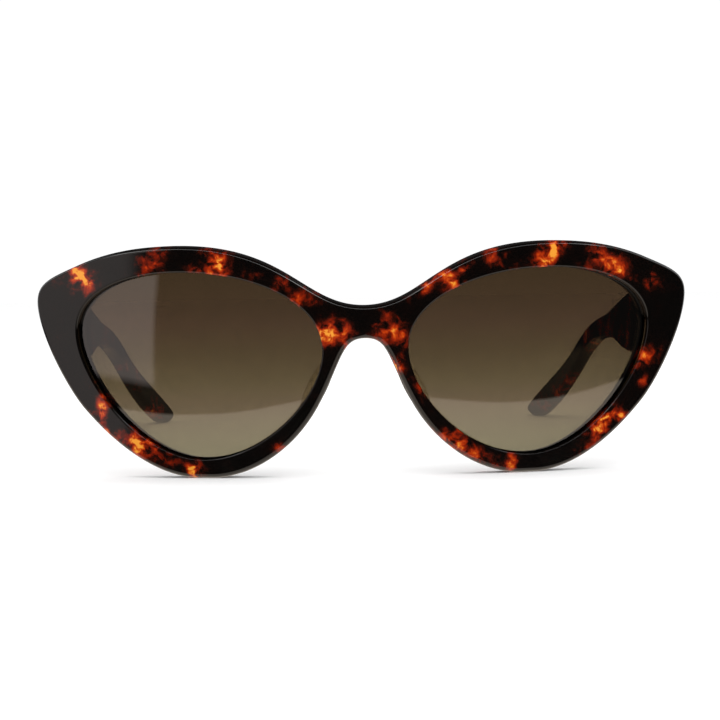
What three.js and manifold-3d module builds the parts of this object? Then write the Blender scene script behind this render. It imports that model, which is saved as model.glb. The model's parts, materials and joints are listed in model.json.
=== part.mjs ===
// Cat eye sunglasses: an acetate front with two gradient lenses, glued nose pads, and two acetate
// temples on five-knuckle hinges. Millimetres, +Z up, the wearer looks along -Y, and the wearer's
// left is +X. The glasses stand open on a table, on the bottoms of both rims and on both temple tips.
//
// Every piece is first laid out in the front's own frame: u runs across the front along its curve,
// z up, and w back from the front face. The temples are laid out flat too, s back from the hinge
// axis, t up and x outwards. Both layouts are then curved, and the whole is tipped to its stance.
import * as THREE from "three";
import { mergeVertices } from "three/addons/utils/BufferGeometryUtils.js";
import { TessellateModifier } from "three/addons/modifiers/TessellateModifier.js";
import Module from "manifold-3d";

const wasm = await Module();
wasm.setup();

// Driving dimensions, in millimetres and degrees.
const FRONT_THICKNESS = 4.6;
const FRONT_CURVE_RADIUS = 201.6; // the front is bent round a cylinder of this radius
const EDGE_BEVEL = 0.9;
const LIP_FRONT = 1.1; // acetate in front of the lens groove
const GROOVE_DEPTH = 0.9;
const GROOVE_WIDTH = 2.3;
const LENS_THICKNESS = 1.8;
const LENS_IN_GROOVE = 0.6; // how far the lens edge reaches into the groove
const LENS_DOME = 1.2; // how far the lens bulges past the front's own curve
const PANTOSCOPIC_TILT = 7.8; // between the front and a plane square to the temples
const STANCE_LEAN = 2.0; // the front's top leans forwards on the table
const TEMPLE_THICKNESS = 3.4;
const TEMPLE_ROUNDING = 0.9;
const TEMPLE_INSET = 2.3; // from the hinge axis out to the temple's inner face
const TIP_INWARD = 11.0; // how far the ear end is bent inwards
const TIP_REACH = 128.0; // where that is measured, behind the hinge axis
const BUTT_GAP = 0.3; // between the front and the open temple
const PAD_HALF_WIDTH = 2.1;
const PAD_HALF_LENGTH = 7.4;
const PAD_DEPTH = 4.6;
const PAD_ROUNDING = 0.55;
const PAD_POINTS = 28;
const PAD_FLARE = 0.12; // outwards per millimetre back
const PAD_TURN = 28; // from upright, to follow the nose edge
const PAD_U = 10.6;
const PAD_Z = 18.7;
const GAP = 0.15; // round each piece that is let into another
const PAST = 1; // how far a cutting body runs past what it cuts
const HINGE_U = 66.6; // the hinge axis across the front
const HINGE_Z = 36.2;
const HINGE_STANDOFF = 2.8; // from the front's rear face back to the hinge axis
const KNUCKLE_RADIUS = 1.4;
const KNUCKLE_HEIGHT = 1.45;
const KNUCKLE_PITCH = 1.55;
const BORE_RADIUS = 0.8;
const SCREW_RADIUS = 0.68;
const SCREW_TOP = 2 * KNUCKLE_PITCH + KNUCKLE_HEIGHT / 2;
const SCREW_CHAMFER = 0.2;
const HEAD_HEIGHT = 0.75;
const HEAD_RADIUS = 1.15;
const HEAD_CLEARANCE = 0.11;
const SLOT_WIDTH = 0.34;
const SLOT_DEPTH = 0.4;
const MOUNT_INNER = -3.6; // the front leaf's plate, across from the hinge axis
const MOUNT_OUTER = 0.7;
const MOUNT_HALF_HEIGHT = 4.4;
const MOUNT_THICKNESS = 0.7;
const FOOT_INNER = -2.2; // the front leaf's foot, sunk into the acetate
const FOOT_OUTER = 0.4;
const FOOT_HALF_HEIGHT = 2.6;
const FOOT_DEPTH = 1.7;
const FOOT_OVERLAP = 0.3; // how far the foot reaches into the leaf's plate
const ARM_HALF_WIDTH = 1.1; // from the front leaf's plate to its knuckles
const LEAF_START = -0.6; // the temple's leaf, measured back from the hinge axis
const LEAF_END = 13;
const LEAF_HALF_HEIGHT = 2.6;
const LEAF_PROUD = 0.1; // above the temple's inner face
const LEAF_SUNK = 0.9; // below it
const LEAF_ARM_BACK = 1.2; // the back of the temple knuckles' arms
const WIRE_HALF_WIDTH = 1.1;
const WIRE_THICKNESS = 1.0;
const WIRE_MIDDLE = TEMPLE_INSET + TEMPLE_THICKNESS / 2 + 0.4; // clear of the leaf's pocket
const ENTRY_START = 3.5; // the slot from the leaf's pocket, where the wire was pushed in
const ENTRY_END = 8;
const FRONT_DETAIL = 7; // points on each span of an outline
const OPENING_DETAIL = 11;
const TEMPLE_DETAIL = 5;
const LONGEST_EDGE = 9; // of the front's faces, before they are bent
const LENS_MIDDLE_U = 36;
const LENS_MIDDLE_Z = 24;

// Outline anchors: [u, z, direction of travel in degrees, handle in, handle out].
// The half of the front with u above 0, from the top of the bridge round the rim to the nose arch.
const FRONT_OUTLINE = [
  [0, 36.3, 0, 0, 13.1], // bridge, top
  [40.3, 49.3, 0, 24.3, 9.9], // brow
  [62.2, 45.5, -21.7, 5.6, 7.6], // start of the upswept corner
  [72.2, 36.35, -96, 5.4, 7.4], // end of the corner
  [61.6, 14.5, -132.7, 5.0, 14.4], // lower cheek side
  [36.3, 0, 180, 6.6, 1.0], // bottom of the rim, flat where it stands on a table
  [33.1, 0, 180, 1.0, 7.0],
  [9.8, 15.9, 118.1, 12.7, 10.5], // nose side
  [0, 29.4, 180, 5.0, 0], // nose arch
];
const OPENING_OUTLINE = [
  [9.1, 27.6, 88, 10.0, 9.8], // nose side
  [39.5, 43.7, 0, 15.7, 13.3], // top
  [62.5, 30.7, -92, 8.4, 10.2], // temple side
  [34.9, 4.0, 180, 13.4, 13.4], // bottom
];
// A temple's side view in its own s and t: its upper and its lower edge, from the butt end to
// the tip. The anchors of the two edges belong together in pairs.
const TEMPLE_TOP = [
  [-3.5, 4.3, 0, 0, 10],
  [26, 5.0, -2, 9, 9], // tall panel
  [62, 2.0, -5, 13, 8], // slim shaft
  [87, 1.0, -5, 8, 6], // start of the ear bend
  [104, -4.4, -31, 6, 9],
  [129.9, -19.4, -38, 9, 2.6], // back of the tip
  [130.4, -23.0, -122, 2.0, 0],
];
const TEMPLE_BOTTOM = [
  [-3.5, -7.6, -4, 0, 12],
  [31, -10.4, 0, 10, 13],
  [62, -4.9, 2, 7, 8],
  [87, -4.6, -8, 8, 6],
  [102.6, -9.8, -30, 6, 9],
  [124.6, -23.04, -25, 9, 1.9], // underside of the tip
  [129.0, -23.65, 16, 1.9, 0],
];
const WIRE_PATH = [
  [6, 0, 0, 0, 20],
  [86, -1.6, -3, 20, 8],
  [103.5, -7.2, -31, 7, 8],
  [120, -17.0, -31, 8, 0],
];
const EAR_BEND = 84.0; // where the temple starts to curve inwards

const degrees = THREE.MathUtils.degToRad;

// Samples a chain of cubic curves through the anchors; a closed chain returns to its first one.
function sampleAnchors(anchors, perSpan, closed) {
  const ends = closed ? [...anchors, anchors[0]] : anchors;
  const points = [];
  for (let i = 0; i + 1 < ends.length; i++) {
    const [x0, y0, turn0, , out0] = ends[i];
    const [x1, y1, turn1, in1] = ends[i + 1];
    const a0 = degrees(turn0);
    const a1 = degrees(turn1);
    const span = new THREE.CubicBezierCurve(
      new THREE.Vector2(x0, y0),
      new THREE.Vector2(x0 + out0 * Math.cos(a0), y0 + out0 * Math.sin(a0)),
      new THREE.Vector2(x1 - in1 * Math.cos(a1), y1 - in1 * Math.sin(a1)),
      new THREE.Vector2(x1, y1),
    );
    points.push(...span.getPoints(perSpan).slice(0, -1));
  }
  if (!closed) {
    const [x, y] = anchors[anchors.length - 1];
    points.push(new THREE.Vector2(x, y));
  }
  return points;
}

// Moves a clockwise loop outwards by a distance, along its own normals.
function offsetLoop(points, distance) {
  return points.map((p, i) => {
    const before = points[(i + points.length - 1) % points.length];
    const after = points[(i + 1) % points.length];
    const along = after.clone().sub(before).normalize();
    return new THREE.Vector2(p.x - along.y * distance, p.y + along.x * distance);
  });
}

// A closed geometry as a manifold solid, with its shared vertices merged.
function solidOf(geometry) {
  const bare = geometry.index ? geometry.toNonIndexed() : geometry.clone();
  bare.deleteAttribute("normal");
  bare.deleteAttribute("uv");
  const merged = mergeVertices(bare, 1e-4);
  return new wasm.Manifold(
    new wasm.Mesh({
      numProp: 3,
      vertProperties: merged.attributes.position.array,
      triVerts: new Uint32Array(merged.index.array),
    }),
  );
}

function geometryOf(solid) {
  const mesh = solid.getMesh();
  const position = new Float32Array(mesh.numVert * 3);
  for (let i = 0; i < mesh.numVert; i++) {
    const start = i * mesh.numProp;
    position.set(mesh.vertProperties.subarray(start, start + 3), i * 3);
  }
  const geometry = new THREE.BufferGeometry();
  geometry.setAttribute("position", new THREE.BufferAttribute(position, 3));
  geometry.setIndex(new THREE.BufferAttribute(mesh.triVerts, 1));
  return geometry;
}

// Splits every edge longer than the limit, so that a flat layout can be bent smoothly.
function refined(geometry, longestEdge) {
  const bare = geometry.index ? geometry.toNonIndexed() : geometry.clone();
  bare.deleteAttribute("normal");
  bare.deleteAttribute("uv");
  return new TessellateModifier(longestEdge, 24).modify(bare);
}

// Moves every vertex of a geometry with a function of its position.
function reshaped(geometry, move) {
  const result = geometry.clone();
  const position = result.attributes.position;
  const point = new THREE.Vector3();
  for (let i = 0; i < position.count; i++) {
    point.fromBufferAttribute(position, i);
    move(point);
    position.setXYZ(i, point.x, point.y, point.z);
  }
  return result;
}

function placed(geometry, matrix) {
  return geometry.clone().applyMatrix4(matrix);
}

function cut(geometry, ...cutters) {
  const left = cutters.reduce((solid, c) => solid.subtract(solidOf(c)), solidOf(geometry));
  return geometryOf(left);
}

function joined(first, ...others) {
  const whole = others.reduce((solid, g) => solid.add(solidOf(g)), solidOf(first));
  return geometryOf(whole);
}

function boxBetween(low, high) {
  const size = high.map((h, i) => h - low[i]);
  const centre = high.map((h, i) => (h + low[i]) / 2);
  return new THREE.BoxGeometry(...size).translate(...centre);
}

// An upright cylinder from z = low to z = high.
function post(radius, low, high, sides = 20) {
  return new THREE.CylinderGeometry(radius, radius, high - low, sides)
    .rotateX(Math.PI / 2)
    .translate(0, 0, (low + high) / 2);
}

// A flat layout plate: the outline lies in u and z, and the plate runs from depth w0 to w1.
function plate(points, w0, w1, bevel = 0) {
  const geometry = new THREE.ExtrudeGeometry(new THREE.Shape(points), {
    depth: w1 - w0 - 2 * bevel,
    bevelEnabled: bevel > 0,
    bevelThickness: bevel,
    bevelSize: bevel,
    bevelOffset: -bevel,
    bevelSegments: 2,
    steps: 1,
  });
  return geometry.translate(0, 0, -w1 + bevel);
}

// The front's curve: a layout point (u, z) at depth w becomes a place on the bent front.
function onFront(u, w, z) {
  const radius = FRONT_CURVE_RADIUS - w;
  const turn = u / FRONT_CURVE_RADIUS;
  return new THREE.Vector3(
    radius * Math.sin(turn),
    FRONT_CURVE_RADIUS - radius * Math.cos(turn),
    z,
  );
}

function bentToFront(geometry) {
  return reshaped(geometry, (p) => p.copy(onFront(p.x, -p.z, p.y)));
}

const mirrorX = (points) => points.map((p) => new THREE.Vector2(-p.x, p.y)).reverse();

// Where a hinge-like frame sits on the front's rear face: x along the face, y back, z up.
function rearFaceFrame(u, z) {
  const at = onFront(u, FRONT_THICKNESS, z);
  return new THREE.Matrix4()
    .makeRotationZ(u / FRONT_CURVE_RADIUS)
    .setPosition(at.x, at.y, at.z);
}

// The hinge's own frame: origin on the axis, z up along it, y back along the temple, x outwards.
const hingeAt = onFront(HINGE_U, FRONT_THICKNESS + HINGE_STANDOFF, HINGE_Z);
const hingeFrame = new THREE.Matrix4()
  .makeRotationX(-degrees(PANTOSCOPIC_TILT))
  .setPosition(hingeAt.x, hingeAt.y, hingeAt.z);

// Everything in front of the front's rear face at the hinge, and a gap more.
function frontSide(gap) {
  const block = boxBetween([-HINGE_Z, -HINGE_Z, -HINGE_Z], [HINGE_Z, gap, HINGE_Z]);
  return placed(block, rearFaceFrame(HINGE_U, HINGE_Z));
}

// --- Front ---

const halfOutline = sampleAnchors(FRONT_OUTLINE, FRONT_DETAIL, false);
const frontOutline = [...halfOutline, ...mirrorX(halfOutline).slice(1, -1)];
const openingLeft = sampleAnchors(OPENING_OUTLINE, OPENING_DETAIL, true);

// The front hinge leaf's foot, which is sunk into the acetate.
function footBox(clearance) {
  const box = boxBetween(
    [FOOT_INNER - clearance, -FOOT_DEPTH - clearance, -FOOT_HALF_HEIGHT - clearance],
    [FOOT_OUTER + clearance, GAP + FOOT_OVERLAP, FOOT_HALF_HEIGHT + clearance],
  );
  return placed(box, rearFaceFrame(HINGE_U, HINGE_Z));
}

function makeFront() {
  const openings = [openingLeft, mirrorX(openingLeft)];
  const holes = openings.map((o) => plate(o, -PAST, FRONT_THICKNESS + PAST));
  const grooves = openings.map((o) =>
    plate(offsetLoop(o, GROOVE_DEPTH), LIP_FRONT, LIP_FRONT + GROOVE_WIDTH),
  );
  const slab = plate(frontOutline, 0, FRONT_THICKNESS, EDGE_BEVEL);
  const flat = cut(slab, ...holes, ...grooves);
  const bent = bentToFront(refined(flat, LONGEST_EDGE));
  const mirror = new THREE.Matrix4().makeScale(-1, 1, 1);
  return cut(bent, footBox(GAP), flipped(placed(footBox(GAP), mirror)));
}

// A closed skin through matching rings of points, with a flat cap on each end.
function loft(rings) {
  const n = rings[0].length;
  const points = rings.flat();
  const index = [];
  for (let r = 0; r + 1 < rings.length; r++) {
    for (let i = 0; i < n; i++) {
      const a = r * n + i;
      const b = r * n + ((i + 1) % n);
      index.push(a, b + n, b, a, a + n, b + n);
    }
  }
  for (const [ring, start] of [
    [rings[0], 0],
    [rings[rings.length - 1], (rings.length - 1) * n],
  ]) {
    const middle = ring.reduce((sum, p) => sum.add(p), new THREE.Vector3());
    points.push(middle.divideScalar(n));
    for (let i = 0; i < n; i++) {
      const edge = [start + i, start + ((i + 1) % n)];
      index.push(...(start === 0 ? edge : edge.reverse()), points.length - 1);
    }
  }
  const geometry = new THREE.BufferGeometry().setFromPoints(points);
  geometry.setIndex(index);
  return geometry;
}

// Turns the faces of a mirrored geometry back out.
function flipped(geometry) {
  const result = geometry.index ? geometry.toNonIndexed() : geometry.clone();
  const position = result.attributes.position;
  const a = new THREE.Vector3();
  const b = new THREE.Vector3();
  for (let i = 0; i < position.count; i += 3) {
    a.fromBufferAttribute(position, i + 1);
    b.fromBufferAttribute(position, i + 2);
    position.setXYZ(i + 1, b.x, b.y, b.z);
    position.setXYZ(i + 2, a.x, a.y, a.z);
  }
  return result;
}

// --- Lenses ---

// A shell between two domed faces, each a stack of matching loops closed by a fan in the middle.
function lensGeometry() {
  const rim = offsetLoop(openingLeft, LENS_IN_GROOVE);
  const middle = new THREE.Vector2(LENS_MIDDLE_U, LENS_MIDDLE_Z);
  const rings = [1, 0.8, 0.5, 0.2];
  const seat = LIP_FRONT + (GROOVE_WIDTH - LENS_THICKNESS) / 2;
  const position = [];
  for (const depth of [seat, seat + LENS_THICKNESS]) {
    for (const share of rings) {
      for (const p of rim) {
        const at = middle.clone().lerp(p, share);
        const bulge = LENS_DOME * (1 - share * share);
        position.push(...onFront(at.x, depth - bulge, at.y).toArray());
      }
    }
    position.push(...onFront(middle.x, depth - LENS_DOME, middle.y).toArray());
  }
  const n = rim.length;
  const perSide = rings.length * n + 1;
  const index = [];
  const quad = (a, b, c, d) => index.push(a, b, c, a, c, d);
  for (let i = 0; i < n; i++) {
    const j = (i + 1) % n;
    for (let r = 0; r + 1 < rings.length; r++) {
      const outer = r * n;
      const inner = outer + n;
      quad(outer + j, outer + i, inner + i, inner + j);
      quad(perSide + outer + i, perSide + outer + j, perSide + inner + j, perSide + inner + i);
    }
    const last = (rings.length - 1) * n;
    index.push(last + j, last + i, perSide - 1);
    index.push(perSide + last + i, perSide + last + j, 2 * perSide - 1);
    quad(i, j, perSide + j, perSide + i);
  }
  const geometry = new THREE.BufferGeometry();
  geometry.setAttribute("position", new THREE.Float32BufferAttribute(position, 3));
  geometry.setIndex(index);
  return geometry;
}

// --- Nose pads ---

function nosePad() {
  const turn = degrees(PAD_TURN);
  const oval = [];
  for (let i = 0; i < PAD_POINTS; i++) {
    const angle = (-2 * Math.PI * i) / PAD_POINTS;
    const across = PAD_HALF_WIDTH * Math.cos(angle);
    const along = PAD_HALF_LENGTH * Math.sin(angle);
    oval.push(
      new THREE.Vector2(
        PAD_U + across * Math.cos(turn) - along * Math.sin(turn),
        PAD_Z + across * Math.sin(turn) + along * Math.cos(turn),
      ),
    );
  }
  const back = FRONT_THICKNESS + PAD_DEPTH;
  const button = plate(oval, FRONT_THICKNESS - PAST, back, PAD_ROUNDING);
  // The back of the pad leans away from the nose.
  const leaning = reshaped(button, (p) => {
    p.x += PAD_FLARE * Math.max(0, -p.z - FRONT_THICKNESS);
  });
  const reach = 2 * PAD_HALF_LENGTH;
  const front = boxBetween(
    [PAD_U - reach, PAD_Z - reach, -FRONT_THICKNESS - GAP],
    [PAD_U + reach, PAD_Z + reach, 0],
  );
  return bentToFront(cut(leaning, front));
}

// --- Hinges ---

const knuckleLevels = [-2, -1, 0, 1, 2].map((k) => k * KNUCKLE_PITCH);
const knuckles = (levels) =>
  levels.map((z) => post(KNUCKLE_RADIUS, z - KNUCKLE_HEIGHT / 2, z + KNUCKLE_HEIGHT / 2));

// The arms that carry the knuckles, between two places across and two places back.
const knuckleArms = (levels, [x0, x1], [y0, y1]) =>
  levels.map((z) => boxBetween([x0, y0, z - KNUCKLE_HEIGHT / 2], [x1, y1, z + KNUCKLE_HEIGHT / 2]));

function hingeBore() {
  const bore = post(BORE_RADIUS, -SCREW_TOP - PAST, SCREW_TOP + PAST);
  const under = SCREW_TOP - HEAD_HEIGHT - HEAD_CLEARANCE;
  const sink = post(HEAD_RADIUS + HEAD_CLEARANCE, under, SCREW_TOP + PAST);
  return joined(bore, sink);
}

function frontLeaf() {
  const levels = [knuckleLevels[0], knuckleLevels[2], knuckleLevels[4]];
  const arms = knuckleArms(levels, [-ARM_HALF_WIDTH, ARM_HALF_WIDTH], [-HINGE_STANDOFF, 0]);
  const barrel = cut(joined(...knuckles(levels), ...arms), hingeBore());
  const pad = placed(
    boxBetween(
      [MOUNT_INNER, GAP, -MOUNT_HALF_HEIGHT],
      [MOUNT_OUTER, GAP + MOUNT_THICKNESS, MOUNT_HALF_HEIGHT],
    ),
    rearFaceFrame(HINGE_U, HINGE_Z),
  );
  const seated = cut(joined(pad, placed(barrel, hingeFrame)), frontSide(GAP));
  return joined(seated, footBox(0));
}

// The temple's leaf, or with a clearance and a higher top the pocket that it is let into.
const leafPlate = (clearance, top) =>
  boxBetween(
    [TEMPLE_INSET - top, LEAF_START - clearance, -LEAF_HALF_HEIGHT - clearance],
    [TEMPLE_INSET + LEAF_SUNK + clearance, LEAF_END + clearance, LEAF_HALF_HEIGHT + clearance],
  );

function templeLeaf() {
  const levels = [knuckleLevels[1], knuckleLevels[3]];
  const arms = knuckleArms(levels, [0, TEMPLE_INSET + LEAF_SUNK / 2], [LEAF_START, LEAF_ARM_BACK]);
  const leaf = leafPlate(0, LEAF_PROUD);
  return cut(joined(leaf, ...knuckles(levels), ...arms), hingeBore());
}

function screw() {
  const profile = [
    [0, -SCREW_TOP],
    [SCREW_RADIUS - SCREW_CHAMFER, -SCREW_TOP],
    [SCREW_RADIUS, -SCREW_TOP + SCREW_CHAMFER],
    [SCREW_RADIUS, SCREW_TOP - HEAD_HEIGHT],
    [HEAD_RADIUS, SCREW_TOP - HEAD_HEIGHT],
    [HEAD_RADIUS, SCREW_TOP - SCREW_CHAMFER],
    [HEAD_RADIUS - SCREW_CHAMFER, SCREW_TOP],
    [0, SCREW_TOP],
  ].map(([r, z]) => new THREE.Vector2(r, z));
  const turned = new THREE.LatheGeometry(profile, 20).rotateX(Math.PI / 2);
  const slot = boxBetween(
    [-HEAD_RADIUS - PAST, -SLOT_WIDTH / 2, SCREW_TOP - SLOT_DEPTH],
    [HEAD_RADIUS + PAST, SLOT_WIDTH / 2, SCREW_TOP + PAST],
  );
  return cut(turned, slot);
}

// --- Temples ---

// The ear end curves inwards, more and more towards the tip.
function inwardAt(s) {
  const share = Math.max(0, (s - EAR_BEND) / (TIP_REACH - EAR_BEND));
  return TIP_INWARD * share ** 2;
}

// One cross-section: a rounded rectangle between an upper and a lower edge point.
function sectionRing(top, bottom, inner, outer, rounding) {
  const height = top.distanceTo(bottom);
  const r = Math.min(rounding, height / 2.2);
  const corners = [
    [outer - r, height - r, 0],
    [inner + r, height - r, 90],
    [inner + r, r, 180],
    [outer - r, r, 270],
  ];
  const ring = [];
  for (const [x, along, start] of corners) {
    for (const turn of r > 0 ? [0, 45, 90] : [0]) {
      const angle = degrees(start + turn);
      const share = (along + r * Math.sin(angle)) / height;
      const at = bottom.clone().lerp(top, share);
      ring.push(new THREE.Vector3(x + r * Math.cos(angle) - inwardAt(at.x), at.x, at.y));
    }
  }
  return ring;
}

// The wire in the temple's middle; with a clearance it is the channel that holds it.
function coreWire(clearance) {
  const path = sampleAnchors(WIRE_PATH, TEMPLE_DETAIL, false);
  const last = path[path.length - 1];
  path[0].x -= clearance;
  last.add(last.clone().sub(path[path.length - 2]).setLength(clearance));
  const side = WIRE_HALF_WIDTH + clearance;
  const half = WIRE_THICKNESS / 2 + clearance;
  const rings = path.map((p, i) => {
    const before = path[Math.max(i - 1, 0)];
    const after = path[Math.min(i + 1, path.length - 1)];
    const along = after.clone().sub(before).setLength(side);
    const top = new THREE.Vector2(p.x - along.y, p.y + along.x);
    const bottom = new THREE.Vector2(p.x + along.y, p.y - along.x);
    return sectionRing(top, bottom, WIRE_MIDDLE - half, WIRE_MIDDLE + half, 0);
  });
  return loft(rings);
}

// Where the wire was pushed in: a slot from the hinge leaf's pocket to the wire.
function wireEntry() {
  const reach = WIRE_HALF_WIDTH + GAP;
  return boxBetween(
    [TEMPLE_INSET + LEAF_SUNK / 2, ENTRY_START, -reach],
    [WIRE_MIDDLE + WIRE_THICKNESS / 2 + GAP, ENTRY_END, reach],
  );
}

function templeBody() {
  const bottoms = sampleAnchors(TEMPLE_BOTTOM, TEMPLE_DETAIL, false);
  const outer = TEMPLE_INSET + TEMPLE_THICKNESS;
  const blank = loft(
    sampleAnchors(TEMPLE_TOP, TEMPLE_DETAIL, false).map((top, i) =>
      sectionRing(top, bottoms[i], TEMPLE_INSET, outer, TEMPLE_ROUNDING),
    ),
  );
  const hollowed = cut(blank, coreWire(GAP), leafPlate(GAP, PAST), wireEntry());
  return cut(placed(hollowed, hingeFrame), frontSide(BUTT_GAP));
}

// --- Assembly ---

const finish = (color, roughness, metalness = 0, opacity = 1) =>
  new THREE.MeshStandardMaterial({
    color,
    roughness,
    metalness,
    opacity,
    transparent: opacity < 1,
  });
const tortoise = finish(0x2a120a, 0.18);
const tintedLens = finish(0x5a4a33, 0.05, 0, 0.75);
const padAcetate = finish(0x3a1a0c, 0.25);
const hingeMetal = finish(0xb9b4aa, 0.3, 1);
const wireMetal = finish(0x9b968c, 0.35, 1);

const glasses = new THREE.Group();
glasses.rotation.x = degrees(STANCE_LEAN);

function addPart(name, geometry, material) {
  const mesh = new THREE.Mesh(geometry, material);
  mesh.name = name;
  glasses.add(mesh);
}

// Adds a piece on the wearer's left, at +X, and its mirror image on the right.
function addPair(name, geometry, material) {
  const mirror = new THREE.Matrix4().makeScale(-1, 1, 1);
  addPart(`${name}_left`, geometry, material);
  addPart(`${name}_right`, flipped(placed(geometry, mirror)), material);
}

addPart("front_frame", makeFront(), tortoise);
addPair("lens", lensGeometry(), tintedLens);
addPair("nose_pad", nosePad(), padAcetate);
addPair("front_hinge", frontLeaf(), hingeMetal);
addPair("temple_hinge", placed(templeLeaf(), hingeFrame), hingeMetal);
addPair("hinge_screw", placed(screw(), hingeFrame), hingeMetal);
addPair("temple", templeBody(), tortoise);
addPair("core_wire", placed(coreWire(0), hingeFrame), wireMetal);

// Stands the glasses on z = 0, centred front to back.
glasses.updateMatrixWorld(true);
const box = new THREE.Box3().setFromObject(glasses, true);
glasses.position.set(0, -(box.min.y + box.max.y) / 2, -box.min.z);

export default glasses;
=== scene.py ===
"""Cat eye sunglasses standing open on a pale table, seen from the front.

The front, lenses, nose pads and temples are built here as fine, rounded meshes that stand for the
CAD nodes of the same shape. The hinges and their screws are the CAD nodes themselves, with bevels.
Layouts are in millimetres: across, up and depth for the front, and back, up and outwards from the
hinge axis for a temple. The scene is in metres.
"""
import json
import math

import bmesh
import bpy
import numpy as np
from mathutils import Matrix, Vector


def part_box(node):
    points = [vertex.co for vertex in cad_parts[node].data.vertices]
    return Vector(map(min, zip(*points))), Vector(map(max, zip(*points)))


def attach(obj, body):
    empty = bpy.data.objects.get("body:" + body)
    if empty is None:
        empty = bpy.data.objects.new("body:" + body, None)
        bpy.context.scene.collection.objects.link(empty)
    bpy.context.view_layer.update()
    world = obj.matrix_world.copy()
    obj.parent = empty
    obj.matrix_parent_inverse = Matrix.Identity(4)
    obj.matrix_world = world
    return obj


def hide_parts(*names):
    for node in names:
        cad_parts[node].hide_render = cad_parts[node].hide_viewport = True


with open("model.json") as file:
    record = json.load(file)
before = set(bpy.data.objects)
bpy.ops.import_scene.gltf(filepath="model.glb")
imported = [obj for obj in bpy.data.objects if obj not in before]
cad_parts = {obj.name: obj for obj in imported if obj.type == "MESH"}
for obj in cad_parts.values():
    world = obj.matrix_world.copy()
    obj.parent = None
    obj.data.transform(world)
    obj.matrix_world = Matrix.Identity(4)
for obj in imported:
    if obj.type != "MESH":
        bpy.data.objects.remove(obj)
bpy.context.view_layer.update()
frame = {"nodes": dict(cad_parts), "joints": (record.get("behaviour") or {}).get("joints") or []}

MM = 0.001
FRONT_THICKNESS = 4.6
FRONT_CURVE_RADIUS = 201.6
STANCE_LEAN = math.radians(2.0)
EDGE_RADIUS = 1.5
EDGE_CREASE = math.radians(25)
REAR_ROUNDING = 0.8
LIP_ROUNDING = 0.3
LIP_FRONT = 1.1
GROOVE_WIDTH = 2.3
GROOVE_DEPTH = 0.9
LENS_THICKNESS = 1.8
LENS_IN_GROOVE = 0.6
LENS_DOME = 1.2
LENS_MIDDLE = np.array([36.0, 24.0])
HINGE_ACROSS = 66.6
HINGE_UP = 36.2
BUTT_GAP = 0.3
TEMPLE_THICKNESS = 3.4
TEMPLE_INSET = 2.3
TEMPLE_ROUNDING = 1.1
TEMPLE_FULL_HEIGHT = 6.0
TIP_INWARD = 11.0
TIP_REACH = 128.0
EAR_BEND = 84.0
PAD_HALF_WIDTH = 2.1
PAD_HALF_LENGTH = 7.4
PAD_DEPTH = 4.6
PAD_FLARE = 0.12
PAD_TURN = math.radians(28)
PAD_MIDDLE = np.array([10.6, 18.7])
PAD_GAP = 0.15
SHARP_ANGLE = math.radians(50)

# Anchors: [across, up, direction of travel in degrees, handle in, handle out].
FRONT_OUTLINE = [
    [0, 36.3, 0, 0, 13.1],
    [40.3, 49.3, 0, 24.3, 9.9],
    [62.2, 45.5, -21.7, 5.6, 7.6],
    [72.2, 36.35, -96, 5.4, 7.4],
    [61.6, 14.5, -132.7, 5.0, 14.4],
    [36.3, 0, 180, 6.6, 1.0],
    [33.1, 0, 180, 1.0, 7.0],
    [9.8, 15.9, 118.1, 12.7, 10.5],
    [0, 29.4, 180, 5.0, 0],
]
OPENING_OUTLINE = [
    [9.1, 27.6, 88, 10.0, 9.8],
    [39.5, 43.7, 0, 15.7, 13.3],
    [62.5, 30.7, -92, 8.4, 10.2],
    [34.9, 4.0, 180, 13.4, 13.4],
]
# The upper and lower edges of a temple, with their anchors in pairs.
TEMPLE_TOP = [
    [-3.5, 4.3, 0, 0, 10],
    [26, 5.0, -2, 9, 9],
    [62, 2.0, -5, 13, 8],
    [87, 1.0, -5, 8, 6],
    [104, -4.4, -31, 6, 9],
    [129.9, -19.4, -38, 9, 2.6],
    [130.4, -23.0, -122, 2.0, 0],
]
TEMPLE_BOTTOM = [
    [-3.5, -7.6, -4, 0, 12],
    [31, -10.4, 0, 10, 13],
    [62, -4.9, 2, 7, 8],
    [87, -4.6, -8, 8, 6],
    [102.6, -9.8, -30, 6, 9],
    [124.6, -23.04, -25, 9, 1.9],
    [129.0, -23.65, 16, 1.9, 0],
]
TEMPLE_PATCH_STEP = 4.5
TEMPLE_PATCH_SEEDS = {1: 5, -1: 11}
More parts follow.
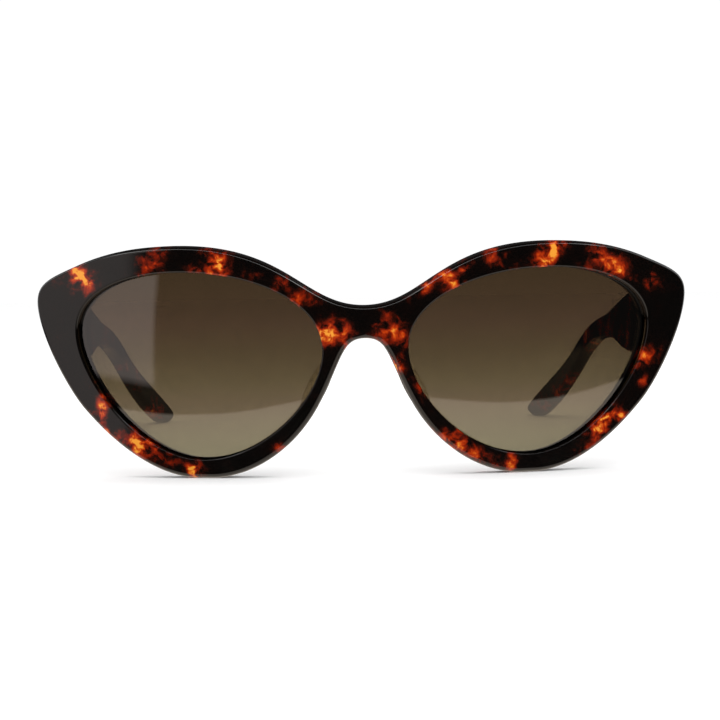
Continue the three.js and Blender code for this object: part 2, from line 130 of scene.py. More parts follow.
# Amber patches of the front: across, up, radius along, radius across, turn in degrees, strength.
FRONT_PATCHES = [
    [-61.5, 43.5, 3.0, 1.4, -50, 1.3],
    [-57.0, 15.0, 3.0, 1.2, 80, 1.2],
    [-56.5, 10.0, 1.5, 0.7, -50, 0.9],
    [-49.0, 7.0, 3.0, 2.2, -20, 1.3],
    [-45.0, 46.0, 4.3, 1.7, 55, 0.85],
    [-43.5, 4.0, 3.5, 1.8, 0, 0.7],
    [-37.0, 1.5, 2.0, 1.6, -85, 1.35],
    [-35.5, 44.5, 2.2, 1.2, 10, 0.7],
    [-31.0, 45.0, 3.0, 1.9, 85, 1.45],
    [-18.5, 6.5, 1.5, 1.2, 0, 0.8],
    [-16.5, 41.0, 2.2, 1.0, -65, 0.65],
    [-13.5, 38.0, 3.2, 1.8, 10, 0.85],
    [-8.5, 30.5, 2.2, 1.8, 40, 1.4],
    [-5.5, 31.5, 3.4, 1.4, -50, 0.85],
    [7.0, 30.5, 4.5, 1.8, -50, 0.8],
    [7.0, 24.0, 2.0, 1.3, 85, 0.85],
    [11.5, 18.5, 3.2, 1.0, -60, 0.7],
    [13.0, 40.0, 2.3, 1.1, 35, 0.85],
    [17.5, 41.5, 3.0, 1.7, -40, 1.1],
    [21.0, 5.5, 7.0, 1.7, -30, 0.85],
    [21.0, 43.5, 1.5, 0.8, 35, 0.85],
    [27.0, 46.5, 1.8, 1.6, -85, 0.9],
    [31.0, 2.0, 2.0, 1.3, 80, 0.9],
    [40.0, 46.5, 4.6, 1.5, 45, 1.2],
    [51.5, 9.5, 4.0, 1.6, 50, 1.2],
    [54.5, 43.5, 3.0, 2.2, -30, 1.05],
    [51.5, 46.0, 3.2, 1.8, -50, 0.85],
    [56.0, 11.0, 1.4, 1.0, 25, 0.9],
    [61.5, 18.5, 1.4, 1.0, 35, 0.75],
    [62.0, 24.0, 2.0, 1.5, 55, 0.9],
    [63.5, 40.0, 1.5, 1.1, 60, 0.75],
]

# --- Curves ---


def heading(angle):
    return np.array([math.cos(math.radians(angle)), math.sin(math.radians(angle))])


def curve_through(anchors, per_span, closed=False):
    """Points along a chain of cubic curves, evenly spaced in each curve's parameter."""
    ends = anchors + anchors[:1] if closed else anchors
    steps = np.linspace(0, 1, per_span, endpoint=False)[:, None]
    points = []
    for a, b in zip(ends[:-1], ends[1:]):
        p0 = np.array(a[:2], float)
        p3 = np.array(b[:2], float)
        p1 = p0 + heading(a[2]) * a[4]
        p2 = p3 - heading(b[2]) * b[3]
        near = (1 - steps) ** 3 * p0 + 3 * steps * (1 - steps) ** 2 * p1
        far = 3 * steps**2 * (1 - steps) * p2 + steps**3 * p3
        points.append(near + far)
    if not closed:
        points.append(np.array([anchors[-1][:2]], float))
    return np.concatenate(points)


def left_normals(points, closed):
    """Unit normals on the left of the direction of travel."""
    if closed:
        along = np.roll(points, -1, axis=0) - np.roll(points, 1, axis=0)
    else:
        along = np.gradient(points, axis=0)
    normals = np.stack([-along[:, 1], along[:, 0]], axis=1)
    return normals / np.linalg.norm(normals, axis=1, keepdims=True)


def angles_about_lens(points):
    """Clockwise angle of each point about the lens middle, growing along the path."""
    away = points - LENS_MIDDLE
    return -np.unwrap(np.arctan2(away[:, 1], away[:, 0]))


def read_at(angles, known, values):
    return np.stack([np.interp(angles, known, v) for v in values.T], axis=1)


# --- Meshes ---


def mesh_object(name, points, faces):
    """A smooth-shaded object from points in metres, welded and facing out."""
    mesh = bpy.data.meshes.new(name)
    mesh.from_pydata(np.asarray(points, float).tolist(), [], faces)
    work = bmesh.new()
    work.from_mesh(mesh)
    bmesh.ops.remove_doubles(work, verts=work.verts, dist=1e-7)
    bmesh.ops.recalc_face_normals(work, faces=work.faces)
    work.to_mesh(mesh)
    work.free()
    mesh.polygons.foreach_set("use_smooth", [True] * len(mesh.polygons))
    obj = bpy.data.objects.new(name, mesh)
    bpy.context.scene.collection.objects.link(obj)
    return obj


def grid_faces(rows, columns, wrap_rows):
    """Quads over a grid of points that is numbered row by row, where each row is a closed ring."""
    faces = []
    for r in range(rows if wrap_rows else rows - 1):
        below = ((r + 1) % rows) * columns
        for c in range(columns):
            right = (c + 1) % columns
            faces.append((r * columns + c, r * columns + right, below + right, below + c))
    return faces


def loft(name, rings):
    """A closed skin through rings of points, with an end face on the first and the last."""
    rings = np.asarray(rings)
    rows, columns = rings.shape[:2]
    faces = grid_faces(rows, columns, wrap_rows=False)
    faces.append(tuple(range(columns)))
    faces.append(tuple(range((rows - 1) * columns, rows * columns)))
    return mesh_object(name, rings.reshape(-1, 3), faces)


def keep_sharp(obj):
    """Keeps the edges that turn the most crisp under smooth shading."""
    obj.data.set_sharp_from_angle(angle=SHARP_ANGLE)


def vertex_places(obj):
    flat = np.empty(len(obj.data.vertices) * 3)
    obj.data.vertices.foreach_get("co", flat)
    return flat.reshape(-1, 3)


def patch_amount(places, patches):
    """How much amber there is at each place of a flat layout, from a list of oval patches."""
    amount = np.zeros(len(places))
    for across, up, along, wide, turn, strength in patches:
        c = math.cos(math.radians(turn))
        s = math.sin(math.radians(turn))
        du = places[:, 0] - across
        dv = places[:, 1] - up
        far = ((du * c + dv * s) / along) ** 2 + ((dv * c - du * s) / wide) ** 2
        core = 0.6 * np.exp(-far)
        halo = 0.4 * np.exp(-0.2 * far)
        amount = np.maximum(amount, strength * (core + halo))
    return amount


def store_patches(obj, amount):
    """Keeps the amount of amber at each vertex, for the acetate material to read."""
    layer = obj.data.attributes.new("patch", "FLOAT", "POINT")
    layer.data.foreach_set("value", amount.astype(np.float32))


# --- Front ---

EDGE_INSET = EDGE_RADIUS * (1 - math.sin(EDGE_CREASE))
BRIDGE_STATIONS = 8
OUTLINE_DETAIL = 50
FACE_SHARES = [0, 0.03, 0.15, 0.3, 0.5, 0.7, 0.85, 0.975, 1]


def leaning(layout):
    """Layout points (across, up, depth) on the curved, leaning front, in metres."""
    across, up, depth = np.moveaxis(np.asarray(layout, float), -1, 0)
    radius = FRONT_CURVE_RADIUS - depth
    turn = across / FRONT_CURVE_RADIUS
    back = FRONT_CURVE_RADIUS - radius * np.cos(turn)
    c = math.cos(STANCE_LEAN)
    s = math.sin(STANCE_LEAN)
    points = [radius * np.sin(turn), back * c - up * s, up * c + back * s]
    return np.stack(points, axis=-1) * MM


def on_front(layout):
    """Layout points of the front where they lie in the scene."""
    return leaning(layout) + FRONT_ORIGIN


def front_stations():
    """Matching outline and opening points round one rim, each with its outward normal.

    The last few stations lie on the bridge's middle line, where the two halves meet and nothing
    is rounded, so their outline normal is zero.
    """
    outline = curve_through(FRONT_OUTLINE, OUTLINE_DETAIL)
    outline_normals = left_normals(outline, closed=False)
    outline_normals[0] = [0, 1]
    outline_normals[-1] = [0, -1]
    angles = angles_about_lens(outline)
    angles = np.maximum.accumulate(angles) + np.linspace(0, 1e-3, len(angles))
    rim = np.hstack([outline, outline_normals])

    bridge = np.zeros((BRIDGE_STATIONS, 4))
    arch = FRONT_OUTLINE[-1][1] + EDGE_INSET
    top = FRONT_OUTLINE[0][1] - EDGE_INSET
    bridge[:, 1] = np.linspace(arch, top, BRIDGE_STATIONS + 2)[1:-1]
    bridge_angles = np.linspace(angles[-1], angles[0] + 2 * math.pi, BRIDGE_STATIONS + 2)
    angles = np.concatenate([angles, bridge_angles[1:-1]])
    rim = np.vstack([rim, bridge])

    opening = curve_through(OPENING_OUTLINE, 2 * OUTLINE_DETAIL, closed=True)
    both = np.hstack([opening, left_normals(opening, closed=True)])
    three_turns = np.vstack([both] * 3)
    around = angles_about_lens(three_turns[:, :2]) - 2 * math.pi
    hole = read_at(angles, around, three_turns)
    hole[:, 2:] /= np.linalg.norm(hole[:, 2:], axis=1, keepdims=True)
    return rim, hole


def front_profile(rim, hole):
    """The closed profile of the rim at every station, as layout points."""
    back = FRONT_THICKNESS
    groove_end = LIP_FRONT + GROOVE_WIDTH
    columns = []

    def add(places, depth):
        columns.append(np.column_stack([places, np.full(len(places), depth)]))

    def from_rim(inset, depth):
        add(rim[:, :2] - rim[:, 2:] * inset, depth)

    def from_hole(outset, depth):
        add(hole[:, :2] + hole[:, 2:] * outset, depth)

    def face(rounding, depth, shares):
        outer = rim[:, :2] - rim[:, 2:] * rounding
        inner = hole[:, :2] + hole[:, 2:] * LIP_ROUNDING
        for share in shares:
            add(inner + (outer - inner) * share, depth)

    face(EDGE_INSET, 0, FACE_SHARES)
    for turn in np.linspace(EDGE_CREASE, math.pi / 2, 7)[1:]:
        inset = EDGE_RADIUS * (1 - math.sin(turn))
        from_rim(inset, EDGE_RADIUS * (math.cos(EDGE_CREASE) - math.cos(turn)))
    for turn in np.radians([90, 75, 60, 45, 30, 15]):
        inset = REAR_ROUNDING * (1 - math.sin(turn))
        from_rim(inset, back - REAR_ROUNDING * (1 - math.cos(turn)))
    face(REAR_ROUNDING, back, FACE_SHARES[::-1])
    for turn in np.radians([30, 60, 90]):
        outset = LIP_ROUNDING * (1 - math.sin(turn))
        from_hole(outset, back - LIP_ROUNDING * (1 - math.cos(turn)))
    from_hole(0, groove_end)
    from_hole(GROOVE_DEPTH, groove_end)
    from_hole(GROOVE_DEPTH, LIP_FRONT)
    from_hole(0, LIP_FRONT)
    for turn in np.radians([90, 60, 30]):
        from_hole(LIP_ROUNDING * (1 - math.sin(turn)), LIP_ROUNDING * (1 - math.cos(turn)))
    return np.stack(columns, axis=1)


def make_front():
    """The whole front: one rim and half of the bridge, joined to its mirror image."""
    half = front_profile(*front_stations())
    rows, columns = half.shape[:2]
    flat = half.reshape(-1, 3)
    joint = np.abs(flat[:, 0]) < 1e-6
    faces = [f for f in grid_faces(rows, columns, wrap_rows=True) if not joint[list(f)].all()]
    other = [tuple(i + len(flat) for i in f) for f in faces]
    layout = np.vstack([flat, flat * [-1, 1, 1]])
    obj = mesh_object("front_shell", on_front(layout), faces + other)
    keep_sharp(obj)
    return obj


def origin_of_front():
    """Where the layout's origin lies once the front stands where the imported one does."""
    low_corner = np.array(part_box("front_frame")[0])
    lowest = leaning(front_profile(*front_stations())).reshape(-1, 3).min(axis=0)
    return np.array([0, *(low_corner - lowest)[1:]])


def unbent(obj):
    """Where each vertex of a piece of the front lies in the flat layout, across and up."""
    x, y, z = ((vertex_places(obj) - FRONT_ORIGIN) / MM).T
    c = math.cos(STANCE_LEAN)
    s = math.sin(STANCE_LEAN)
    back = y * c + z * s
    up = z * c - y * s
    across = np.arctan2(x, FRONT_CURVE_RADIUS - back) * FRONT_CURVE_RADIUS
    return np.column_stack([across, up])


# --- Lenses and nose pads ---


LENS_SHARES = [0.04, 0.12, 0.25, 0.4, 0.55, 0.7, 0.82, 0.92, 0.98, 1]
LENS_DETAIL = 40


def make_lens(name, side):
    """A domed pane, ring by ring: out over its front face and back in over its rear face."""
    opening = curve_through(OPENING_OUTLINE, LENS_DETAIL, closed=True)
    rim = opening + left_normals(opening, closed=True) * LENS_IN_GROOVE
    seat = LIP_FRONT + (GROOVE_WIDTH - LENS_THICKNESS) / 2
    rings = []
    for depth, order in ((seat, LENS_SHARES), (seat + LENS_THICKNESS, LENS_SHARES[::-1])):
        for share in order:
            at = LENS_MIDDLE + (rim - LENS_MIDDLE) * share
            bulge = LENS_DOME * (1 - share * share)
            rings.append(np.column_stack([at * [side, 1], np.full(len(at), depth - bulge)]))
    obj = loft(name, on_front(rings))
    keep_sharp(obj)
    return obj


PAD_SIDES = 48
PAD_RINGS = 12
PAD_SQUARENESS = 2.6
PAD_FULLNESS = 0.42


def make_pad(name, side):
    """A rounded oval lump on the front's rear face, leaning away from the nose.

    Its sides rise nearly straight and then round over into a flattish top.
    """
    angle = np.linspace(0, 2 * math.pi, PAD_SIDES, endpoint=False)
    oval = np.column_stack([PAD_HALF_WIDTH * np.cos(angle), PAD_HALF_LENGTH * np.sin(angle)])
    c = math.cos(PAD_TURN)
    s = math.sin(PAD_TURN)
    oval = oval @ np.array([[c, s], [-s, c]])
    rings = []
    for rise in np.sin(np.radians(np.linspace(0, 88, PAD_RINGS))):
        width = (1 - rise**PAD_SQUARENESS) ** PAD_FULLNESS
        at = PAD_MIDDLE + oval * width + [PAD_FLARE * PAD_DEPTH * rise, 0]
        depth = FRONT_THICKNESS + PAD_GAP + (PAD_DEPTH - PAD_GAP) * rise
        rings.append(np.column_stack([at * [side, 1], np.full(len(at), depth)]))
    return loft(name, on_front(rings))


# --- Temples ---

TEMPLE_DETAIL = 14


def temple_matrix(joint, side):
    """From a temple's layout, outwards, back and up from its hinge axis in mm, to the scene."""
    up = Vector(joint["axis"]) * side
    outwards = Vector((1, 0, 0))
    back = up.cross(outwards)
    turn = Matrix((outwards * side, back, up)).transposed().to_4x4()
    return Matrix.Translation(Vector(joint["pos_m"])) @ turn @ Matrix.Scale(MM, 4)


def temple_section(top, bottom):
    """A rounded rectangle between an upper and a lower edge point, as outwards, back, up.

    Towards the tip, where the temple is low, the section also grows thinner.
    """
    height = np.linalg.norm(top - bottom)
    fullness = min(1.0, height / TEMPLE_FULL_HEIGHT)
    half = TEMPLE_THICKNESS / 2 * math.sqrt(1 - (1 - fullness) ** 2)
    rounding = min(TEMPLE_ROUNDING, height / 2.1, half / 1.05)
    middle = TEMPLE_INSET + TEMPLE_THICKNESS / 2
    ring = []
    for x_sign, up_side, start in ((1, 1, 0), (-1, 1, 90), (-1, 0, 180), (1, 0, 270)):
        for turn in np.radians(start + np.linspace(0, 90, 6)):
            out = x_sign * (half - rounding) + rounding * math.cos(turn)
            level = height - rounding if up_side else rounding
            share = (level + rounding * math.sin(turn)) / height
            back, up = bottom + (top - bottom) * share
            bend = max(0, (back - EAR_BEND) / (TIP_REACH - EAR_BEND))
            ring.append((middle + out - TIP_INWARD * bend**2, back, up))
    return ring


def make_temple(name, joint, side):
    """A temple lofted along its two edges, with its end cut to fit the front."""
    tops = curve_through(TEMPLE_TOP, TEMPLE_DETAIL)
    bottoms = curve_through(TEMPLE_BOTTOM, TEMPLE_DETAIL)
    rings = np.array([temple_section(t, b) for t, b in zip(tops, bottoms)])
    obj = loft(name, rings)
    store_patches(obj, patch_amount(vertex_places(obj)[:, 1:], temple_patches(side)))
    obj.data.transform(temple_matrix(joint, side))
    mitre(obj, side)
    keep_sharp(obj)
    return obj


def temple_patches(side):
    """Scattered amber patches along a temple, the same on every run."""
    dice = np.random.default_rng(TEMPLE_PATCH_SEEDS[side])
    patches = []
    for back in np.arange(2, TIP_REACH, TEMPLE_PATCH_STEP):
        up = dice.uniform(-9, 4) - max(0, back - EAR_BEND) * 0.45
        long = dice.uniform(2.0, 4.5)
        wide = long * dice.uniform(0.35, 0.65)
        turn = dice.uniform(-80, 80)
        along = back + dice.uniform(-2, 2)
        patches.append([along, up, long, wide, turn, dice.uniform(0.7, 1.15)])
    return patches


def mitre(obj, side):
    """Cuts the temple's end parallel to the front's rear face, with a gap between them."""
    turn = side * HINGE_ACROSS / FRONT_CURVE_RADIUS
    foot = on_front([side * HINGE_ACROSS, HINGE_UP, FRONT_THICKNESS + BUTT_GAP])
    c = math.cos(STANCE_LEAN)
    s = math.sin(STANCE_LEAN)
    normal = Vector((-math.sin(turn), math.cos(turn) * c, math.cos(turn) * s))
    work = bmesh.new()
    work.from_mesh(obj.data)
    everything = work.verts[:] + work.edges[:] + work.faces[:]
    cut = bmesh.ops.bisect_plane(
        work, geom=everything, plane_co=Vector(foot), plane_no=normal, clear_inner=True
    )
    edges = [e for e in cut["geom_cut"] if isinstance(e, bmesh.types.BMEdge)]
    bmesh.ops.holes_fill(work, edges=edges)
    bmesh.ops.recalc_face_normals(work, faces=work.faces)
    work.to_mesh(obj.data)
    work.free()


# --- Materials ---


def new_material(name):
    """A material, with its nodes, its links and its one surface shader."""
    mat = bpy.data.materials.new(name)
    mat.use_nodes = True
    nodes = mat.node_tree.nodes
    return mat, nodes, mat.node_tree.links, nodes["Principled BSDF"]


def noise(nodes, links, vector, scale, detail, roughness=0.5):
    node = nodes.new("ShaderNodeTexNoise")
    node.inputs["Scale"].default_value = scale
    node.inputs["Detail"].default_value = detail
    node.inputs["Roughness"].default_value = roughness
    links.new(vector, node.inputs["Vector"])
    return node


def math_node(nodes, links, operation, *values):
    node = nodes.new("ShaderNodeMath")
    node.operation = operation
    for socket, value in zip(node.inputs, values):
        if isinstance(value, (int, float)):
            socket.default_value = value
        else:
            links.new(value, socket)
    return node.outputs[0]


def map_range(nodes, links, value, *limits):
    """Maps the span between the first two limits onto the span between the last two."""
    node = nodes.new("ShaderNodeMapRange")
    links.new(value, node.inputs["Value"])
    for name, number in zip(("From Min", "From Max", "To Min", "To Max"), limits):
        node.inputs[name].default_value = number
    return node.outputs["Result"]


def ramp(nodes, links, value, stops):
    node = nodes.new("ShaderNodeValToRGB")
    links.new(value, node.inputs["Fac"])
    elements = node.color_ramp.elements
    while len(elements) < len(stops):
        elements.new(0.5)
    for element, (position, colour) in zip(elements, stops):
        element.position = position
        element.color = (*colour, 1)
    return node.outputs["Color"]


def object_millimetres(nodes, links):
    """The piece's own coordinates, in millimetres."""
    place = nodes.new("ShaderNodeTexCoord")
    scale = nodes.new("ShaderNodeVectorMath")
    scale.operation = "SCALE"
    scale.inputs["Scale"].default_value = 1 / MM
    links.new(place.outputs["Object"], scale.inputs[0])
    return scale.outputs[0]


# Colours of the acetate, from its black ground to the heart of an amber patch.
AMBER = [
    (0.0, (0.0013, 0.0008, 0.0006)),
    (0.22, (0.003, 0.001, 0.0006)),
    (0.34, (0.025, 0.0025, 0.0006)),
    (0.48, (0.11, 0.006, 0.0008)),
    (0.62, (0.24, 0.014, 0.001)),
    (0.76, (0.43, 0.035, 0.002)),
    (0.88, (0.6, 0.12, 0.01)),
    (1.0, (0.79, 0.3, 0.03)),
]


def tortoise_acetate():
    """Polished dark acetate, whose amber patches are broken up into ragged flecks by noise."""
    mat, nodes, links, shader = new_material("tortoise_acetate")
    place = object_millimetres(nodes, links)
    layer = nodes.new("ShaderNodeAttribute")
    layer.attribute_name = "patch"
    cloud = noise(nodes, links, place, 0.5, 5, 0.55)
    cloud.inputs["Distortion"].default_value = 0.5
    haze = noise(nodes, links, place, 0.16, 5, 0.6)
    ragged = map_range(nodes, links, cloud.outputs["Fac"], 0.33, 0.67, 0.3, 1.15)
    patch = math_node(nodes, links, "MULTIPLY", layer.outputs["Fac"], ragged)
    drift = map_range(nodes, links, haze.outputs["Fac"], 0.5, 0.75, 0, 0.5)
    drift = math_node(nodes, links, "MULTIPLY", drift, ragged)
    amount = math_node(nodes, links, "ADD", patch, drift)
    links.new(ramp(nodes, links, amount, AMBER), shader.inputs["Base Color"])
    smear = noise(nodes, links, place, 0.12, 4, 0.6)
    rough = map_range(nodes, links, smear.outputs["Fac"], 0.3, 0.7, 0.06, 0.13)
    links.new(rough, shader.inputs["Roughness"])
    shader.inputs["IOR"].default_value = 1.49
    return mat


def clear_acetate():
    """See-through acetate with a warm cast, a little cloudy and uneven."""
    mat, nodes, links, shader = new_material("clear_acetate")
    place = object_millimetres(nodes, links)
    cloud = noise(nodes, links, place, 0.35, 4, 0.6)
    warm = [(0.3, (0.9, 0.83, 0.7)), (0.7, (0.95, 0.92, 0.86))]
    links.new(ramp(nodes, links, cloud.outputs["Fac"], warm), shader.inputs["Base Color"])
    rough = map_range(nodes, links, cloud.outputs["Fac"], 0.3, 0.7, 0.08, 0.25)
    links.new(rough, shader.inputs["Roughness"])
    shader.inputs["Transmission Weight"].default_value = 1.0
    shader.inputs["IOR"].default_value = 1.49
    return mat


# What one face of the lens lets through, from its bottom to its top.
TINT = [
    (0.0, (0.385, 0.36, 0.26)),
    (0.2, (0.36, 0.32, 0.24)),
    (0.3, (0.34, 0.29, 0.22)),
    (0.41, (0.305, 0.262, 0.187)),
    (0.56, (0.27, 0.223, 0.157)),
    (0.71, (0.262, 0.203, 0.15)),
    (1.0, (0.224, 0.174, 0.118)),
]
LENS_LOW = 3.5
LENS_HIGH = 44.5


def gradient_lens():
    """A tinted, polished lens: see-through colour, with the surface's own reflection over it."""
    mat, nodes, links, shader = new_material("lens_gradient")
    place = object_millimetres(nodes, links)
    split = nodes.new("ShaderNodeSeparateXYZ")
    links.new(place, split.inputs[0])
    cloud = noise(nodes, links, place, 0.1, 2)
    sway = map_range(nodes, links, cloud.outputs["Fac"], 0.3, 0.7, -0.6, 0.6)
    level = math_node(nodes, links, "ADD", split.outputs["Z"], sway)
    height = map_range(nodes, links, level, LENS_LOW, LENS_HIGH, 0, 1)
    clear = nodes.new("ShaderNodeBsdfTransparent")
    links.new(ramp(nodes, links, height, TINT), clear.inputs["Color"])
    smear = noise(nodes, links, place, 0.2, 5, 0.65)
    rough = map_range(nodes, links, smear.outputs["Fac"], 0.35, 0.75, 0.0, 0.02)
    shader.inputs["Base Color"].default_value = (1, 1, 1, 1)
    shader.inputs["Metallic"].default_value = 1.0
    links.new(rough, shader.inputs["Roughness"])
    edge = nodes.new("ShaderNodeFresnel")
    edge.inputs["IOR"].default_value = 1.72
    mix = nodes.new("ShaderNodeMixShader")
    links.new(edge.outputs[0], mix.inputs["Fac"])
    links.new(clear.outputs[0], mix.inputs[1])
    links.new(shader.outputs[0], mix.inputs[2])
    links.new(mix.outputs[0], nodes["Material Output"].inputs["Surface"])
    return mat


NICKEL_COLOUR = (0.66, 0.63, 0.58)
STEEL_COLOUR = (0.72, 0.7, 0.67)


def satin_metal(name, colour, roughness):
    """Tumbled metal: fine scratches along the piece and a little unevenness in its shine."""
    mat, nodes, links, shader = new_material(name)
    place = object_millimetres(nodes, links)
    stretch = nodes.new("ShaderNodeVectorMath")
    stretch.operation = "MULTIPLY"
    stretch.inputs[1].default_value = (6, 1, 6)
    links.new(place, stretch.inputs[0])
    lines = noise(nodes, links, stretch.outputs[0], 1.4, 4, 0.6)
    blotch = noise(nodes, links, place, 0.8, 3)
    dulled = tuple(c * 0.82 for c in colour)
    shade = ramp(nodes, links, blotch.outputs["Fac"], [(0.3, dulled), (0.7, colour)])
    links.new(shade, shader.inputs["Base Color"])
    rough = map_range(nodes, links, lines.outputs["Fac"], 0.3, 0.7, roughness * 0.7, roughness * 1.4)
    links.new(rough, shader.inputs["Roughness"])
    shader.inputs["Metallic"].default_value = 1.0
    bump = nodes.new("ShaderNodeBump")
    bump.inputs["Strength"].default_value = 0.15
    bump.inputs["Distance"].default_value = 0.02 * MM
    links.new(lines.outputs["Fac"], bump.inputs["Height"])
    links.new(bump.outputs["Normal"], shader.inputs["Normal"])
    return mat


def pale_table():
    """A matt, nearly white sheet with a faint unevenness."""
    mat, nodes, links, shader = new_material("pale_table")
    place = object_millimetres(nodes, links)
    fibre = noise(nodes, links, place, 0.05, 4)
    shade = ramp(nodes, links, fibre.outputs["Fac"], [(0.3, (0.945,) * 3), (0.7, (0.965,) * 3)])
    links.new(shade, shader.inputs["Base Color"])
    shader.inputs["Roughness"].default_value = 0.9
    shader.inputs["Specular IOR Level"].default_value = 0.0
    return mat


# --- Assembly ---


def bevel_node(node, width, material):
    """Eases the edges of a CAD node and gives it its finish."""
    obj = frame["nodes"][node]
    obj.data.materials.clear()
    obj.data.materials.append(material)
    bevel = obj.modifiers.new("eased_edges", "BEVEL")
    bevel.width = width * MM
    bevel.segments = 2
    bevel.limit_method = "ANGLE"
    bevel.angle_limit = math.radians(40)
    bevel.harden_normals = True


def add_piece(obj, body, node, material):
    """Puts a finished piece in the place of a CAD node, and on the body that it moves with."""
    obj.data.materials.append(material)
    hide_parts(node)
    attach(obj, body)


FRONT_ORIGIN = origin_of_front()

acetate = tortoise_acetate()
pad_acetate = clear_acetate()
lens_tint = gradient_lens()
nickel = satin_metal("nickel_silver", NICKEL_COLOUR, 0.28)
steel = satin_metal("screw_steel", STEEL_COLOUR, 0.22)

front = make_front()
store_patches(front, patch_amount(unbent(front), FRONT_PATCHES))
add_piece(front, "front", "front_frame", acetate)

joints = {joint["name"]: joint for joint in frame["joints"]}
for side, word in ((1, "left"), (-1, "right")):
    lens = make_lens(f"lens_{word}_pane", side)
    add_piece(lens, "front", f"lens_{word}", lens_tint)
    pad = make_pad(f"nose_pad_{word}_lump", side)
    add_piece(pad, "front", f"nose_pad_{word}", pad_acetate)
    temple = make_temple(f"temple_{word}_shell", joints[f"{word}_temple_fold"], side)
    add_piece(temple, f"{word}_arm", f"temple_{word}", acetate)
    bevel_node(f"front_hinge_{word}", 0.08, nickel)
    bevel_node(f"temple_hinge_{word}", 0.08, nickel)
    bevel_node(f"hinge_screw_{word}", 0.05, steel)
    bevel_node(f"core_wire_{word}", 0.1, steel)


# --- Table, light and camera ---

TABLE_REACH = 3.0
STUDIO_WHITE = 1.04
ROOM_GREY = 0.03

# What reflections see: the colours of the table, of a panel on the left, of the ceiling and the
# walls behind, and of a strip light overhead.
TABLE_GLOW = (1.1, 0.98, 0.84)
PANEL_GLOW = (0.85, 0.77, 0.74)
CEILING_GLOW = (0.1, 0.1, 0.1)
WALL_GLOW = (0.9, 0.9, 0.9)
STRIP_GLOW = (5.0, 5.0, 5.0)


def make_table():
    r = TABLE_REACH
    mesh = bpy.data.meshes.new("table")
    mesh.from_pydata([(-r, -r, 0), (r, -r, 0), (r, r, 0), (-r, r, 0)], [], [(0, 1, 2, 3)])
    mesh.materials.append(pale_table())
    table = bpy.data.objects.new("table", mesh)
    bpy.context.scene.collection.objects.link(table)
    table.visible_glossy = False


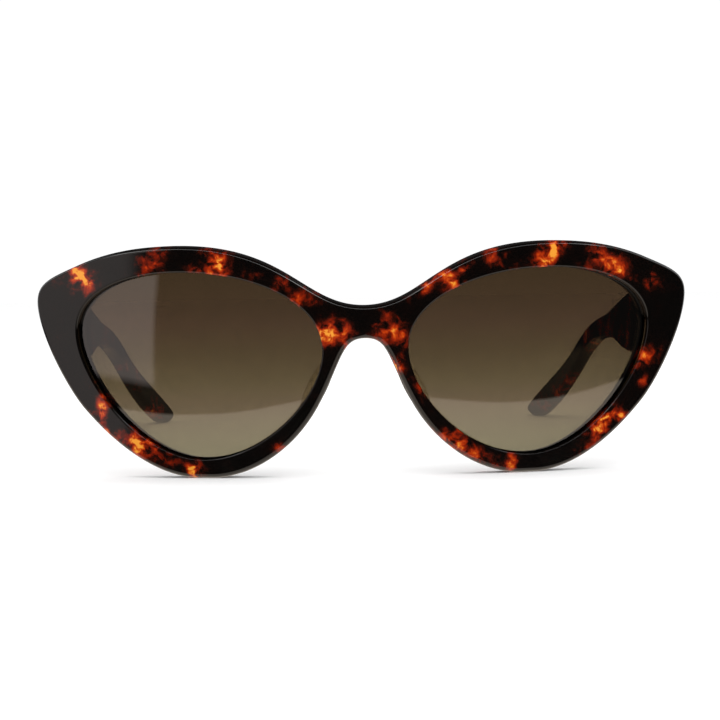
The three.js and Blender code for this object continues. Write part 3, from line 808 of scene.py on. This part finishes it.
def make_world():
    """White studio light; reflections see a dim room with a bright table and a few panels.

    Directions in the room are unit vectors: x to the right, y to the back and z up.
    """
    world = bpy.data.worlds.new("studio")
    bpy.context.scene.world = world
    world.use_nodes = True
    nodes = world.node_tree.nodes
    links = world.node_tree.links
    place = nodes.new("ShaderNodeTexCoord")
    split = nodes.new("ShaderNodeSeparateXYZ")
    links.new(place.outputs["Generated"], split.inputs[0])
    x, y, z = split.outputs

    def calculate(operation, *values):
        return math_node(nodes, links, operation, *values)

    def all_of(first, *others):
        for other in others:
            first = calculate("MULTIPLY", first, other)
        return first

    def over(value, start, width):
        """0 up to the start, and 1 from the start and the width on."""
        return map_range(nodes, links, value, start, start + width, 0, 1)

    def under(value, end, width):
        return over(calculate("MULTIPLY", value, -1), -end, width)

    def mixed(share, below, above):
        mix = nodes.new("ShaderNodeMix")
        mix.data_type = "RGBA"
        links.new(share, mix.inputs["Factor"])
        for socket, colour in ((mix.inputs["A"], below), (mix.inputs["B"], above)):
            if isinstance(colour, tuple):
                socket.default_value = (*colour, 1)
            else:
                links.new(colour, socket)
        return mix.outputs["Result"]

    behind = over(y, 0.1, 0.1)
    in_front = under(y, 0, 0.1)
    bow = calculate("MULTIPLY", calculate("MULTIPLY", x, x), 0.026)
    table_line = calculate("ADD", bow, calculate("MULTIPLY", x, 0.028))
    table = over(calculate("SUBTRACT", table_line, z), 0.248, 0.008)
    panel_slant = calculate("SUBTRACT", calculate("MULTIPLY", z, 0.19), x)
    panel = all_of(over(panel_slant, 0.54, 0.02), over(z, -0.2, 0.02), in_front)
    ceiling = all_of(over(z, 0.45, 0.2), behind)
    walls = all_of(over(calculate("ABSOLUTE", x), 0.45, 0.1), behind, over(z, -0.2, 0.1))
    strip = all_of(over(z, 0.77, 0.02), under(z, 0.86, 0.02), in_front)

    glow = (ROOM_GREY,) * 3
    for share, colour in (
        (table, TABLE_GLOW),
        (panel, PANEL_GLOW),
        (ceiling, CEILING_GLOW),
        (walls, WALL_GLOW),
        (strip, STRIP_GLOW),
    ):
        glow = mixed(share, glow, colour)
    rays = nodes.new("ShaderNodeLightPath")
    seen = mixed(rays.outputs["Is Glossy Ray"], (STUDIO_WHITE,) * 3, glow)
    links.new(seen, nodes["Background"].inputs["Color"])


def add_area(name, place, target, size, power):
    light = bpy.data.lights.new(name, "AREA")
    light.shape = "SQUARE"
    light.size = size
    light.energy = power
    obj = bpy.data.objects.new(name, light)
    obj.location = place
    obj.rotation_euler = (Vector(target) - Vector(place)).to_track_quat("-Z", "Y").to_euler()
    obj.visible_glossy = False
    bpy.context.scene.collection.objects.link(obj)


# The camera's distance, shift and drop are in millimetres, from the foot of the bridge.
CAMERA_DISTANCE = 345.6
CAMERA_YAW = math.radians(1.6)
CAMERA_PITCH = math.radians(2.9)
CAMERA_ROLL = math.radians(0.93)
CAMERA_SHIFT = 1.17
CAMERA_RISE = 24.87
CAMERA_FOCAL = 82.15


def make_camera():
    """A view from in front, a little to one side and above, and slightly rolled."""
    turn = Matrix.Rotation(-CAMERA_YAW, 3, "Z")
    rise = CAMERA_DISTANCE * math.sin(CAMERA_PITCH) + CAMERA_RISE
    away = -CAMERA_DISTANCE * math.cos(CAMERA_PITCH)
    place = turn @ Vector((-CAMERA_SHIFT, away, rise)) * MM + Vector(FRONT_ORIGIN)
    forward = turn @ Vector((0, math.cos(CAMERA_PITCH), -math.sin(CAMERA_PITCH)))
    up = turn @ Vector((0, math.sin(CAMERA_PITCH), math.cos(CAMERA_PITCH)))
    right = forward.cross(up)
    up = up * math.cos(CAMERA_ROLL) + right * math.sin(CAMERA_ROLL)
    right = forward.cross(up)
    camera = bpy.data.cameras.new("camera")
    camera.lens = CAMERA_FOCAL
    camera.sensor_width = 36
    camera.clip_start = 0.01
    camera.clip_end = 50
    obj = bpy.data.objects.new("camera", camera)
    basis = Matrix((right, up, -forward)).transposed().to_4x4()
    obj.matrix_world = Matrix.Translation(place) @ basis
    bpy.context.scene.collection.objects.link(obj)
    bpy.context.scene.camera = obj


make_table()
make_world()
add_area("overhead", place=(0.1, -0.1, 0.8), target=(0, 0, 0), size=1.0, power=4.0)
make_camera()

scene = bpy.context.scene
scene.view_settings.view_transform = "Standard"
scene.view_settings.look = "None"
